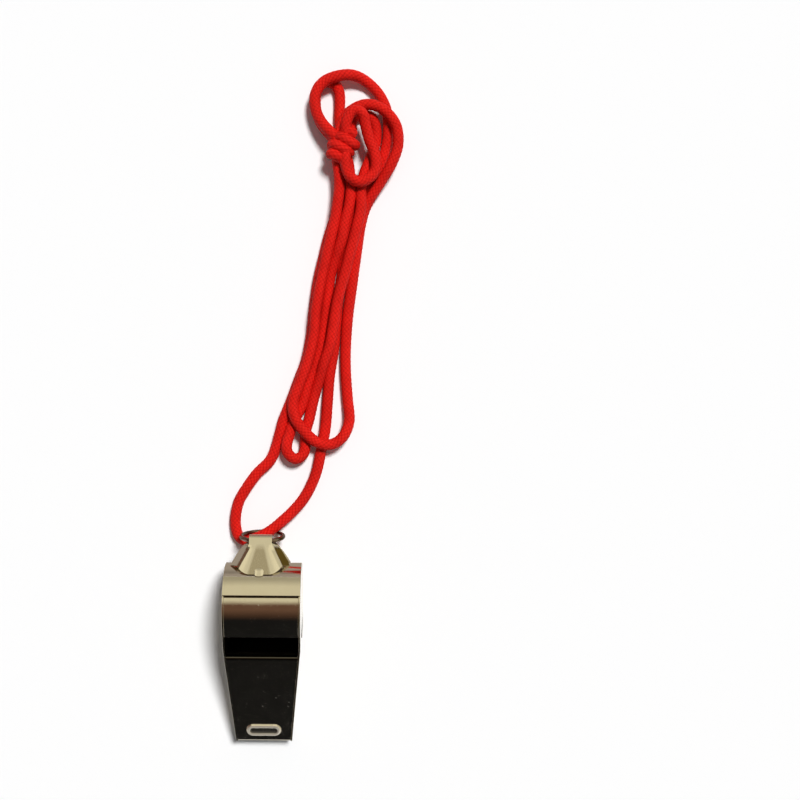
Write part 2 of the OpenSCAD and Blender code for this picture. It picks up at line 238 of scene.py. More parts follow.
def nickel_plate():
    """Bright nickel plated on pressed brass: a warm mirror with the press's faint ripple, fine pits
    and dust, satin where teeth have worn it, duller where snap hooks have rubbed the lug, and
    darkened with painted shade in the bend of the lip and in the tooth grip's dish."""
    material, tree, place = new_material("nickel_plate")
    # Ripple of the pressed sheet, some 5 mm long, and cloudy stains of 3 mm
    ripple = add_node(tree, "ShaderNodeTexNoise", {
        "Vector": place, "Scale": 1 / (5 * MM), "Detail": 1.0})
    cloud = add_node(tree, "ShaderNodeTexNoise", {
        "Vector": place, "Scale": 1 / (3.03 * MM), "Detail": 3.0})
    # Pits and dust of about 0.4 mm
    pits = add_node(tree, "ShaderNodeTexNoise", {
        "Vector": place, "Scale": 1 / (0.3846 * MM), "Detail": 2.0})
    specks = add_node(tree, "ShaderNodeValToRGB", {"Fac": pits.outputs["Fac"]},
                      stops=[(0.60, grey(0.0)), (0.74, grey(1.0))]).outputs["Color"]
    rough = add_node(tree, "ShaderNodeMapRange", {
        "Value": cloud.outputs["Fac"], "From Min": 0.3, "From Max": 0.7, "To Min": 0.07, "To Max": 0.13})
    speckled = add_node(tree, "ShaderNodeMath", {0: specks, 1: 0.16, 2: rough.outputs["Result"]},
                        operation="MULTIPLY_ADD")
    worn = add_node(tree, "ShaderNodeAttribute", attribute_name="worn").outputs["Fac"]
    satin = add_node(tree, "ShaderNodeMath", {0: worn, 1: 0.32, 2: speckled.outputs["Value"]},
                     operation="MULTIPLY_ADD")
    # Worn plate is full of fine scratches, which scatter light as a pale matt surface does
    metal = add_node(tree, "ShaderNodeMath", {0: worn, 1: -0.45, 2: 1.0},
                     operation="MULTIPLY_ADD", use_clamp=True)
    wave = add_node(tree, "ShaderNodeBump", {
        "Height": ripple.outputs["Fac"], "Strength": 0.10, "Distance": 0.4 * MM})
    dent = add_node(tree, "ShaderNodeBump", {
        "Height": specks, "Normal": wave.outputs["Normal"], "Strength": 0.12, "Distance": 0.04 * MM})
    tint = add_node(tree, "ShaderNodeMix", {
        "Factor": cloud.outputs["Fac"], "A": linear("DDD4C3"), "B": linear("E3DCCE")}, data_type="RGBA")
    dull = add_node(tree, "ShaderNodeAttribute", attribute_name="dull").outputs["Fac"]
    rubbed = add_node(tree, "ShaderNodeMix", {
        "Factor": dull, "A": tint.outputs["Result"], "B": linear("AFA48C")}, data_type="RGBA")
    # Painted shade: the lip's bend and the tooth grip's dish are darkened towards a dark grey
    dark = add_node(tree, "ShaderNodeAttribute", attribute_name="painted_shade").outputs["Fac"]
    shade = add_node(tree, "ShaderNodeMix", {
        "Factor": dark, "A": rubbed.outputs["Result"], "B": linear("5A5750")}, data_type="RGBA")
    shader = add_node(tree, "ShaderNodeBsdfPrincipled", {
        "Base Color": shade.outputs["Result"], "Roughness": satin.outputs["Value"],
        "Normal": dent.outputs["Normal"], "Metallic": metal.outputs["Value"]})
    return finished(material, shader.outputs["BSDF"])


def inner_plate_painted_dark():
    """The pressed sheet's unpolished inner side, nearly matt and coloured blackish brown as painted shade,
    so that the chamber looks dark."""
    material, tree, place = new_material("inner_plate_painted_dark")
    # Stains of some 3 mm
    stain = add_node(tree, "ShaderNodeTexNoise", {
        "Vector": place, "Scale": 1 / (3.03 * MM), "Detail": 3.0})
    colour = add_node(tree, "ShaderNodeValToRGB", {"Fac": stain.outputs["Fac"]},
                      stops=[(0.3, linear("1C1916")), (0.7, linear("2E2A24"))])
    shader = add_node(tree, "ShaderNodeBsdfPrincipled", {
        "Base Color": colour.outputs["Color"], "Metallic": 1.0, "Roughness": 0.5})
    return finished(material, shader.outputs["BSDF"])


def tarnished_wire():
    """Drawn wire with its nickel rubbed thin and browned: darker than the sheet, and clouded."""
    material, tree, place = new_material("tarnished_wire")
    # Tarnish in clouds of 2 mm
    cloud = add_node(tree, "ShaderNodeTexNoise", {
        "Vector": place, "Scale": 1 / (2 * MM), "Detail": 3.0})
    colour = add_node(tree, "ShaderNodeValToRGB", {"Fac": cloud.outputs["Fac"]},
                      stops=[(0.35, linear("6A5048")), (0.65, linear("8E7B6E"))])
    shader = add_node(tree, "ShaderNodeBsdfPrincipled", {
        "Base Color": colour.outputs["Color"], "Metallic": 1.0, "Roughness": 0.22})
    return finished(material, shader.outputs["BSDF"])


def solder_with_painted_shade():
    """Flowed solder at the seam, coloured dark brown as painted shade of the lap's step: a thin brown line,
    satin and a little uneven.
    """
    material, tree, place = new_material("solder_with_painted_shade")
    # Flux stains of about 1 mm
    stain = add_node(tree, "ShaderNodeTexNoise", {
        "Vector": place, "Scale": 1 / (1.111 * MM), "Detail": 3.0})
    colour = add_node(tree, "ShaderNodeValToRGB", {"Fac": stain.outputs["Fac"]},
                      stops=[(0.35, linear("463A2C")), (0.65, linear("66563F"))])
    bump = add_node(tree, "ShaderNodeBump", {
        "Height": stain.outputs["Fac"], "Strength": 0.4, "Distance": 0.1 * MM})
    shader = add_node(tree, "ShaderNodeBsdfPrincipled", {
        "Base Color": colour.outputs["Color"], "Normal": bump.outputs["Normal"],
        "Metallic": 1.0, "Roughness": 0.5})
    return finished(material, shader.outputs["BSDF"])


def pressed_cork():
    """Pressed natural cork: matt tan crumbs, dark seams between them and small open pores."""
    material, tree, place = new_material("pressed_cork")
    # Crumbs of about 1.2 mm, and pores of 0.4 mm
    crumb = {"Vector": place, "Scale": 1 / (1.176 * MM)}
    crumbs = add_node(tree, "ShaderNodeTexVoronoi", crumb)
    seams = add_node(tree, "ShaderNodeTexVoronoi", crumb, feature="DISTANCE_TO_EDGE")
    pores = add_node(tree, "ShaderNodeTexNoise", {
        "Vector": place, "Scale": 1 / (0.4167 * MM), "Detail": 4.0})
    hue = add_node(tree, "ShaderNodeValToRGB", {"Fac": crumbs.outputs["Color"]},
                   stops=[(0.1, linear("A97C4E")), (0.9, linear("C79A68"))]).outputs["Color"]
    edge = add_node(tree, "ShaderNodeValToRGB", {"Fac": seams.outputs["Distance"]},
                    stops=[(0.0, grey(0.35)), (0.12, grey(1.0))]).outputs["Color"]
    hole = add_node(tree, "ShaderNodeValToRGB", {"Fac": pores.outputs["Fac"]},
                    stops=[(0.36, grey(0.3)), (0.46, grey(1.0))]).outputs["Color"]
    both = add_node(tree, "ShaderNodeMix", {"Factor": 1.0, "A": edge, "B": hole},
                    data_type="RGBA", blend_type="MULTIPLY").outputs["Result"]
    colour = add_node(tree, "ShaderNodeMix", {"Factor": 1.0, "A": hue, "B": both},
                      data_type="RGBA", blend_type="MULTIPLY").outputs["Result"]
    bump = add_node(tree, "ShaderNodeBump", {"Height": both, "Strength": 0.6, "Distance": 0.15 * MM})
    shader = add_node(tree, "ShaderNodeBsdfPrincipled", {
        "Base Color": colour, "Normal": bump.outputs["Normal"], "Roughness": 0.85})
    return finished(material, shader.outputs["BSDF"])


def braided_polypropylene():
    """Polypropylene yarn in a tight round braid: satin red, with painted highlight on the crowns and painted
    shade between them.
    """
    material, tree, place = new_material("braided_polypropylene")
    crown = add_node(tree, "ShaderNodeAttribute", attribute_name="crown").outputs["Fac"]
    # Filaments of the yarn, drawn at 0.2 mm so that they show, and clouds of 4 mm
    lint = add_node(tree, "ShaderNodeTexNoise", {
        "Vector": place, "Scale": 1 / (0.2 * MM), "Detail": 3.0})
    cloud = add_node(tree, "ShaderNodeTexNoise", {
        "Vector": place, "Scale": 1 / (3.846 * MM), "Detail": 2.0})
    # Painted light: a lighter red on the strands' crowns and a deep red between and under them
    hue = add_node(tree, "ShaderNodeValToRGB", {"Fac": crown}, stops=[
        (0.0, linear("8E0605")), (0.35, linear("C9140F")), (0.85, linear("E6241C"))]).outputs["Color"]
    shade = add_node(tree, "ShaderNodeValToRGB", {"Fac": cloud.outputs["Fac"]},
                     stops=[(0.35, grey(0.86)), (0.65, grey(1.0))]).outputs["Color"]
    dye_with_painted_light = add_node(tree, "ShaderNodeMix", {"Factor": 1.0, "A": hue, "B": shade},
                    data_type="RGBA", blend_type="MULTIPLY")
    bump = add_node(tree, "ShaderNodeBump", {
        "Height": lint.outputs["Fac"], "Strength": 0.25, "Distance": 0.06 * MM})
    shader = add_node(tree, "ShaderNodeBsdfPrincipled", {
        "Base Color": dye_with_painted_light.outputs["Result"], "Normal": bump.outputs["Normal"], "Roughness": 0.55,
        "Specular IOR Level": 0.1})
    return finished(material, shader.outputs["BSDF"])


NICKEL = nickel_plate()
# The inner finish is painted shade: the chamber's walls are coloured blackish brown
INNER = inner_plate_painted_dark()
WIRE = tarnished_wire()
# The solder is real; its dark brown is painted shade in the lap's step
SOLDER = solder_with_painted_shade()
CORK = pressed_cork()
BRAID = braided_polypropylene()


# Meshes

def new_piece(name, points, faces, material, closed=False):
    """A smooth-shaded mesh at the origin from arrays of points and faces. A closed one whose signed
    volume comes out negative is turned inside out."""
    mesh = bpy.data.meshes.new(name)
    points = np.asarray(points, float)
    mesh.from_pydata(points.tolist(), [], [list(f) for f in faces])
    mesh.polygons.foreach_set("use_smooth", np.ones(len(mesh.polygons), bool))
    if closed:
        mesh.calc_loop_triangles()
        corners = np.empty(len(mesh.loop_triangles) * 3, np.int32)
        mesh.loop_triangles.foreach_get("vertices", corners)
        a, b, c = points[corners.reshape(-1, 3)].transpose(1, 0, 2)
        if np.einsum("ij,ij", a - points[0], np.cross(b - points[0], c - points[0])) < 0:
            mesh.flip_normals()
    mesh.materials.append(material)
    mesh.update()
    piece = bpy.data.objects.new(name, mesh)
    bpy.context.scene.collection.objects.link(piece)
    return piece


def add_layer(piece, name, values):
    """A value at each of the mesh's points, for its material to read."""
    layer = piece.data.attributes.new(name, "FLOAT", "POINT")
    layer.data.foreach_set("value", values.reshape(-1).astype(np.float32))


def grid_faces(rows, columns, wrap=False):
    """The quads of a grid of points, row after row; wrap joins the last column to the first."""
    across = columns if wrap else columns - 1
    i, j = np.meshgrid(np.arange(rows - 1), np.arange(across), indexing="ij")
    a, b = i * columns + j, i * columns + (j + 1) % columns
    return np.stack([a, a + columns, b + columns, b], -1).reshape(-1, 4)


def seated(points):
    """Points in the whistle's own frame (x, u, w), tipped on to the surface."""
    x, u, w = np.moveaxis(np.asarray(points, float), -1, 0)
    c, s = math.cos(REST_TILT), math.sin(REST_TILT)
    return np.stack([x + AXIS[0], AXIS[1] + u * c - w * s, AXIS[2] + u * s + w * c], -1)


def press(piece, edge, inner):
    """Gives a surface its sheet's thickness behind it, with the inner side's finish, and breaks the edges."""
    piece.data.materials.append(inner)
    wall = piece.modifiers.new("sheet", "SOLIDIFY")
    wall.thickness = SHEET
    wall.offset = -1
    wall.use_even_offset = True
    wall.material_offset = 1
    break_edges(piece, edge)


def break_edges(piece, width):
    """Rounds the sharp edges and keeps the flats flat."""
    edge = piece.modifiers.new("edges", "BEVEL")
    edge.width = width
    edge.segments = 3
    edge.limit_method = "ANGLE"
    edge.angle_limit = math.radians(40)
    piece.modifiers.new("flats", "WEIGHTED_NORMAL").weight = 60


def dress(piece, node=None, body="whistle"):
    """The piece rides on a body and, where a node is named, stands for it."""
    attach(piece, body)
    if node:
        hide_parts(node)


def along(points, step=1 * MM):
    """Points of a polyline at even steps, its corners kept."""
    out = [np.array(points[:1], float)]
    for a, b in zip(points[:-1], points[1:]):
        a, b = np.array(a, float), np.array(b, float)
        n = max(1, int(round(np.linalg.norm(b - a) / step)))
        out.append(a + (b - a) * (np.arange(1, n + 1) / n)[:, None])
    return np.concatenate(out)


def arc(centre, radius, start_deg, end_deg, count):
    """Points of an arc in u and w, its angles from w towards u."""
    t = np.radians(np.linspace(start_deg, end_deg, count))
    return np.stack([centre[0] + radius * np.sin(t), centre[1] + radius * np.cos(t)], -1)


def cheek_gap(u):
    """Half the width between the cheeks at u: even up to the start of the taper, and narrowing to the tip."""
    share = np.clip((-u - TAPER_START) / (MOUTH_L - TAPER_START), 0, 1)
    return HALF_W - SHEET + (TIP_HALF - HALF_W) * share


def strip(name, profile, half_width, across=(-1, 1), edge=EDGE, lift=None, finish=NICKEL):
    """A pressed strip: a profile in u and w carried across the whistle, from -half_width(u) to
    +half_width(u) at the shares in across. The profile is the strip's outer face, and runs
    anticlockwise as seen from +X. lift(x, u) raises that face."""
    u, w = profile[:, :1], profile[:, 1:]
    x = half_width(u) * np.asarray(across, float)[None, :]
    u, w = u + 0 * x, w + 0 * x
    raised = lift(x, u) if lift else 0
    points = seated(np.stack([x, u, w + raised], -1)).reshape(-1, 3)
    piece = new_piece(name, points, grid_faces(*x.shape), finish)
    press(piece, edge, INNER)
    return piece


def bar(name, outline, half_width, finish):
    """A closed side outline in u and w carried across the whistle, with flat ends."""
    count = len(outline)
    x = np.repeat([-half_width, half_width], count)
    points = seated(np.column_stack([x, np.tile(outline, (2, 1))]))
    k = np.arange(count)
    sides = np.stack([k, k + count, (k + 1) % count + count, (k + 1) % count], -1)
    piece = new_piece(name, points, [*sides, k[::-1], k + count], finish, closed=True)
    break_edges(piece, BAR_EDGE)
    return piece


# Barrel

def make_barrel_band():
    """A straight wall down from the windway, then an arc under and round the back to the lap seam."""
    band = arc((0, 0), BARREL_R, 270, SEAM_DEG, 150)
    dress(strip("barrel_sheet", band, lambda u: HALF_W + 0 * u), "barrel_band")
    wall = along([[-SLIT_U - SHEET, LIP_W - SHEET - FIT], [-BARREL_R, 0]])
    # The front wall inside the chamber takes the inner finish's painted shade
    dress(strip("barrel_front_wall", wall, cheek_gap, edge=WALL_EDGE, finish=INNER))


def make_wind_cutter():
    """An arc from under the lap, then a flat that is bevelled to the edge that splits the air."""
    under_lap = SEAM_DEG + math.degrees(LAP / INNER_R)
    outer = arc((0, 0), INNER_R, under_lap, 0, 50)
    inner = arc((0, 0), INNER_R - SHEET, 0, under_lap, 50)
    edge = [[-CUTTER_REACH, INNER_R], [-CUTTER_REACH, INNER_R - SHEET / 4],
            [-CUTTER_REACH + CUTTER_BEVEL, INNER_R - SHEET]]
    dress(bar("cutter_sheet", np.concatenate([outer, edge, inner]), HALF_W - SHEET, NICKEL), "wind_cutter")


def make_seam_solder():
    """Solder in the foot of the lap's step: an arc whose height over the cutter falls from the step as
    a quarter circle, its underside sunk in the cutter."""
    share = np.linspace(0, 1, 9)
    t = math.radians(SEAM_DEG) - share * SOLDER_W / INNER_R
    r = INNER_R + SOLDER_RISE * (1 - np.sqrt(1 - (1 - share) ** 2))
    top = np.stack([r * np.sin(t), r * np.cos(t)], -1)
    sunk = (INNER_R - SHEET / 4) * np.stack([np.sin(t), np.cos(t)], -1)
    dress(bar("seam_solder", np.concatenate([top, sunk[::-1]]), HALF_W - SHEET, SOLDER))


def cheek_outline():
    """The cheek's two flats, as corners in u and w that run clockwise seen from +X: the round disc
    behind the line where the cheek bends, and the mouthpiece's side in front of it."""
    top_cut = INNER_R + (ROOF_W - INNER_R) * TAPER_START / WINDOW_U
    low_deg = 180 + math.degrees(math.asin(TAPER_START / INNER_R))
    disc = np.concatenate([[[-TAPER_START, top_cut]], arc((0, 0), INNER_R, 0, low_deg, 140)])
    side = np.concatenate([arc((0, 0), INNER_R, low_deg, THROAT_DEG, 24), [
        [-BARREL_R, 0], [-BARREL_R, THROAT_LOW], [-MOUTH_L, TIP_LOW], [-MOUTH_L, ROOF_W],
        [-WINDOW_U, ROOF_W], [-TAPER_START, top_cut]]])
    return disc, side


def make_cheek(hand, name, node):
    """A flat plate, bent inwards along one line where the mouthpiece starts to taper."""
    fold = (TIP_HALF - HALF_W) / (MOUTH_L - TAPER_START)
    flats = cheek_outline()
    flat = np.concatenate(flats)
    x = hand * (HALF_W + fold * np.clip(-flat[:, 0] - TAPER_START, 0, None))
    count = len(flats[0])
    faces = [np.arange(count), np.arange(count, len(flat))]
    if hand > 0:
        faces = [f[::-1] for f in faces]
    piece = new_piece(name, seated(np.column_stack([x, flat])), faces, NICKEL)
    piece.modifiers.new("join", "WELD").merge_threshold = FOLD_JOIN
    press(piece, EDGE, INNER)
    dress(piece, node)


# Mouthpiece

def from_bead(x, u):
    """How far out from its spine a point of the tooth grip lies, as a share of the stadium's end
    radius, and how far it is off the middle of the bead."""
    end_r = GRIP_W / 2 - GRIP_BEAD
    run = GRIP_L / 2 - GRIP_BEAD - end_r
    spine = np.hypot(np.clip(np.abs(x) - run, 0, None), u - GRIP_U)
    return spine / end_r, np.abs(spine - end_r)


def grip_height(x, u):
    """The tooth grip: a half round bead along a stadium, with a shallow dish inside it."""
    share, off = from_bead(x, u)
    bead = GRIP_BEAD * np.sqrt(np.clip(1 - (off / GRIP_BEAD) ** 2, 0, 1))
    dish = GRIP_DISH * np.cos(np.clip(share, 0, 1) * math.pi / 2) ** 2
    return bead - dish


def make_roof():
    """One strip between the cheeks, with a bent rear lip, a rounded tip and the tooth grip, round which
    its grid is finer. The bead and, less so, the dish are worn; the dish and the lip's bend carry painted
    shade."""
    lip_u, tip_u = -WINDOW_U - LIP_R, -MOUTH_L + TIP_ROUND
    fine_u = GRIP_U + np.array([GRIP_FINE, -GRIP_FINE])
    u = np.concatenate([np.linspace(lip_u, fine_u[0], 40)[:-1], np.linspace(*fine_u, 80)[:-1],
                        np.linspace(fine_u[1], tip_u, 6)])
    profile = np.concatenate([[[-WINDOW_U, ROOF_W - LIP_DROP]],
                              arc((lip_u, ROOF_W - LIP_R), LIP_R, 90, 0, 12)[:-1],
                              np.column_stack([u, np.full_like(u, ROOF_W)]),
                              arc((tip_u, ROOF_W - TIP_ROUND), TIP_ROUND, 0, -90, 10)[1:]])
    fine_x = GRIP_L / 2 / (TIP_HALF - SHEET) + 0.03
    across = np.concatenate([np.linspace(-1, -fine_x, 8)[:-1], np.linspace(-fine_x, fine_x, 140),
                             np.linspace(fine_x, 1, 8)[1:]])
    roof = strip("roof_sheet", profile, cheek_gap, across,
                 lift=lambda x, u: np.where((u < lip_u) & (u > tip_u), grip_height(x, u), 0))
    u, x = profile[:, :1], cheek_gap(profile[:, :1]) * across[None, :]
    share, off = from_bead(x, u)
    dish = np.clip((0.8 - share) / 0.15, 0, 1)
    add_layer(roof, "worn", np.clip(1.15 - off / GRIP_BEAD, 0, 1) + 0.5 * dish)
    # Painted shade in the lip's bend and in the grip's dish
    add_layer(roof, "painted_shade", np.clip((u - lip_u) / LIP_SHADE_EDGE + 1, 0, 1) + dish)
    dress(roof, "mouthpiece_roof")


def floor_height(u):
    """Height of the floor's outer face at u: a straight line from the throat to the tip."""
    fall = (TIP_LOW - THROAT_LOW) / (MOUTH_L - BARREL_R)
    return TIP_LOW - (u + MOUTH_L) * fall


def make_floor():
    """One strip between the cheeks, from the tip to the barrel."""
    end_u = -BARREL_R - FIT
    floor = along([[-MOUTH_L, TIP_LOW], [end_u, floor_height(end_u)]])
    dress(strip("floor_sheet", floor, cheek_gap), "mouthpiece_floor")


def make_windway_plate():
    """One strip between the cheeks: a short level lip at the slit, then a ramp down to the floor."""
    start_u = -SLIT_U - WINDWAY_L
    start_w = floor_height(start_u) + 2 * SHEET + FIT
    plate = along([[-SLIT_U, LIP_W], [-SLIT_U - 2 * SHEET, LIP_W], [start_u, start_w]], step=0.8 * MM)
    # The windway plate inside the mouthpiece takes the inner finish's painted shade
    dress(strip("windway_sheet", plate, cheek_gap, finish=INNER), "windway_plate")


# Lug and ring

def lug_point(x, y, z):
    """Points in the lug's frame, y out along the lug and z square to its middle."""
    c, s = math.cos(LUG_RISE), math.sin(LUG_RISE)
    return np.stack([x + LUG_SHIFT, AXIS[1] + y * c - z * s, AXIS[2] + y * s + z * c], -1)


def bend(aside, start, width, slope):
    """How far a sheet has dropped past a fold: from start, its slope grows evenly over the fold's
    width to its full value, and stays so."""
    past = np.clip(aside - start, 0, None)
    return slope * np.where(past < width, past ** 2 / (2 * width), past - width / 2)


def make_lug():
    """One folded strip. Seen from the side, the upper leg's outer face is the straight line from
    the barrel that touches the eye's circle; the strip rolls round the eye from there, and the
    lower leg mirrors the upper. t runs up a leg, from 0 at the barrel to 1 at the eye. Across it,
    the face is flat in the middle, where it is worn, then curves down to a soft crease. A steeper
    facet runs from there to the face's edge, and past it the flanges fall away, steeper still. The
    face narrows evenly towards the neck, and the flanges' outer edges narrow faster near it. The
    end of the leg is an arc that stands back towards the face's corners. down is 0 at the neck and
    1 at those corners, and the crease grows out of the neck in its first third."""
    base = BARREL_R * np.array([math.cos(math.radians(BASE_DEG)), math.sin(math.radians(BASE_DEG))])
    base = base + [0, SHEET]
    away = base - [EYE_P, 0]
    lean = math.atan2(*away) + math.acos(EYE_OUT / np.linalg.norm(away))
    touch = np.array([EYE_P + EYE_OUT * math.sin(lean), EYE_OUT * math.cos(lean)])
    length = np.linalg.norm(touch - base)
    corner = FACE_ARC / length
    neck = 1 - (touch[0] - EYE_P + RING_ROOM) / (touch[0] - base[0])

    q = np.linspace(-1, 1, 161)[None, :]
    aside = np.abs(q) * BASE_W / 2
    stand_back = np.clip((aside - SEAT_W / 2) / (FACE_W / 2 - SEAT_W / 2), 0, 1) ** 1.5
    past_face = np.clip((aside - FACE_W / 2) / (BASE_W / 2 - FACE_W / 2), 0, 1)
    end = corner * stand_back - 0.03 * past_face
    t = end + (1 - end) * np.linspace(0, 1, 44)[:, None]

    down = np.clip((neck - t) / (neck - corner), 0, 1.3)
    fold = (NECK_W + (FACE_W - NECK_W) * down) / 2
    leg_x = q * (NECK_W + (BASE_W - NECK_W) * down ** 0.6) / 2
    off = np.abs(leg_x)
    worn_w = WORN_NECK + (WORN_BASE - WORN_NECK) * down
    grown = np.clip(down / 0.3, 0, 1)
    crease = fold - CREASE_W
    drop = (grown * bend(off, worn_w, crease - worn_w, SHOULDER_SLOPE)
            + grown * bend(off, crease, FOLD_W, CREASE_SLOPE - SHOULDER_SLOPE)
            + bend(off, fold - FOLD_W, 2 * FOLD_W, FLANGE_SLOPE - CREASE_SLOPE))
    leg_y = base[0] + (touch[0] - base[0]) * t
    leg_z = base[1] + (touch[1] - base[1]) * t - drop

    turn = np.linspace(lean, math.pi - lean, 30)[1:-1, None] + 0 * q
    x = np.concatenate([leg_x, q * NECK_W / 2 + 0 * turn, leg_x[::-1]])
    y = np.concatenate([leg_y, EYE_P + EYE_OUT * np.sin(turn), leg_y[::-1]])
    z = np.concatenate([leg_z, EYE_OUT * np.cos(turn), -leg_z[::-1]])
    points = lug_point(x, y, z)[::-1].reshape(-1, 3)
    piece = new_piece("lug_strip", points, grid_faces(*x.shape), NICKEL)
    rubbed = np.clip((worn_w - off) / WORN_EDGE + 0.5, 0, 1) * grown
    dull = np.concatenate([rubbed, 0 * turn, 0 * rubbed])[::-1]
    add_layer(piece, "dull", dull)
    add_layer(piece, "worn", 0.3 * dull)
    press(piece, EDGE, NICKEL)
    dress(piece, "ring_lug")

    seat = lug_point(0, *(base + (touch - base) * 0.06))
    dress(new_piece("lug_spot_weld", *dome(seat, WELD_R, WELD_RISE, lean + LUG_RISE), NICKEL, closed=True))


def dome(middle, radius, height, lean):
    """A low squarish button: a parabola's cap, height times 1 - t^2 at t times the radius, turned
    about an axis that leans from +Z towards +Y. Its outline is |x|^3 + |y|^3 = radius^3."""
    t = np.linspace(0, 1, 12)[:, None] ** 0.7
    a = np.linspace(0, 2 * math.pi, 40, endpoint=False)[None, :]
    out = radius * t / (np.abs(np.cos(a)) ** 3 + np.abs(np.sin(a)) ** 3) ** (1 / 3)
    x, y, z = out * np.cos(a), out * np.sin(a), height * (1 - t ** 2) + 0 * a
    c, s = math.cos(lean), math.sin(lean)
    points = np.stack([x, y * c + z * s, z * c - y * s], -1)
    rows, columns = x.shape
    faces = [list(f) for f in grid_faces(rows, columns, wrap=True)]
    faces.append(list(range((rows - 1) * columns, rows * columns))[::-1])
    return (points + middle).reshape(-1, 3), faces


def make_ring():
    """A ring of round wire: a circle turned about the ring's middle, hanging in the eye and leaning out."""
    around, section = 128, 24
    a = np.linspace(0, 2 * math.pi, around, endpoint=False)[:, None]
    b = np.linspace(0, 2 * math.pi, section, endpoint=False)[None, :]
    out = RING_R + WIRE_R * np.cos(b)
    x, z, y = out * np.sin(a), -RING_HANG + out * np.cos(a), WIRE_R * np.sin(b) + 0 * a
    c, s = math.cos(RING_LEAN), math.sin(RING_LEAN)
    points = np.stack([x + EYE[0], EYE[1] + y * c - z * s, EYE[2] + y * s + z * c], -1)
    faces = grid_faces(around + 1, section, wrap=True) % (around * section)
    piece = new_piece("lanyard_ring_wire", points.reshape(-1, 3), faces, WIRE, closed=True)
    dress(piece, "lanyard_ring", body="ring")


# Pea

def make_pea():
    """A sphere in polar grid, its radius roughened by three waves of crumbs."""
    rows, columns = 60, 120
    t = np.linspace(0, math.pi, rows)[:, None]
    a = np.linspace(0, 2 * math.pi, columns, endpoint=False)[None, :]
    wave = (np.sin(9 * a + 3 * np.cos(5 * t)) * np.sin(11 * t) + np.sin(17 * t + 2 * np.sin(6 * a))
            + np.sin(23 * a * np.ones_like(t)) * np.sin(t) ** 2 * np.cos(19 * t))
    r = PEA_R * (0.985 + 0.005 * wave * np.sin(t))
    ball = np.stack([r * np.sin(t) * np.cos(a), r * np.sin(t) * np.sin(a), r * np.cos(t) + 0 * a], -1)
    piece = new_piece("cork_ball", (ball + PEA_AT).reshape(-1, 3), grid_faces(rows, columns, wrap=True), CORK,
                      closed=True)
    piece.modifiers.new("poles", "WELD").merge_threshold = POLE_JOIN
    dress(piece, "cork_pea", body="pea")


# Lanyard

# One cord of about 0.72 m, in the four stretches between its passes through the knot. The routes are in mm
OUTER = [[17, 118.5, TOP], [17.5, 114.5, TOP], [17.5, 110, TOP], [16.5, 103, TOP], [15, 96.5, TOP],
         [13.5, 89.5, TOP], [12, 81, TOP], [11.5, 74.5, TOP], [10, 68, TOP], [8, 62.5, TOP], [6.5, 58, TOP],
         [7, 54, TOP], [9.5, 50.5, TOP], [12.5, 48, TOP], [16, 47.5, TOP], [19, 49.5, 3.3], [20.5, 53.5, 2.2],
         [20, 59, LOW], [19.5, 66, LOW], [19.5, 72.5, LOW], [20, 80, LOW], [21, 88, LOW], [22, 95.5, LOW],
         [23, 102.5, LOW], [24.5, 107.5, 1.5], [27.6, 112.5, 2.8], [30.4, 117, TOP], [32.1, 122, TOP],
         [31.5, 127, TOP], [28.3, 130.8, TOP], [24.3, 132, TOP], [20.5, 130.5, TOP], [18.5, 128, TOP],
         [17.5, 124.5, TOP]]

CURL = [[19.5, 118.5, 3.6], [20, 116, TOP], [20.5, 111, TOP], [20, 106.5, TOP], [19, 102.5, TOP],
        [18.5, 99, TOP], [17.5, 96, 3.2], [16.5, 93, 2.1], [15.5, 89.5, 1.4], [15, 85, LOW],
        [14.5, 81.5, LOW], [13.6, 75, LOW], [12.3, 68.5, LOW], [10.1, 62.5, LOW], [8.5, 57, LOW],
        [6.5, 53, LOW], [5.6, 50, 2.3], [4.9, 47, 3.1], [5.4, 45, 3.1], [7.1, 43.8, 2.8], [8.8, 44.6, 2.2],
        [9.5, 46.5, 1.6], [9.5, 50, LOW], [10.5, 54, LOW], [11.5, 58.5, LOW], [12.75, 63, 1.8],
        [14, 67.5, 3.1], [15.5, 72, TOP], [16.5, 78, TOP], [17.5, 84, TOP], [19, 89.5, TOP],
        [20.5, 95.5, TOP], [22, 101.5, TOP], [23, 106.5, TOP], [23, 111, TOP], [23.8, 115, 3.4],
        [25.3, 119, 2.6], [26.6, 123, 1.5], [26.6, 127, LOW], [25.4, 129.4, LOW], [23, 130, LOW],
        [21.1, 129, 1.5], [20.5, 127.4, 2.2], [20.5, 125, 3.4]]

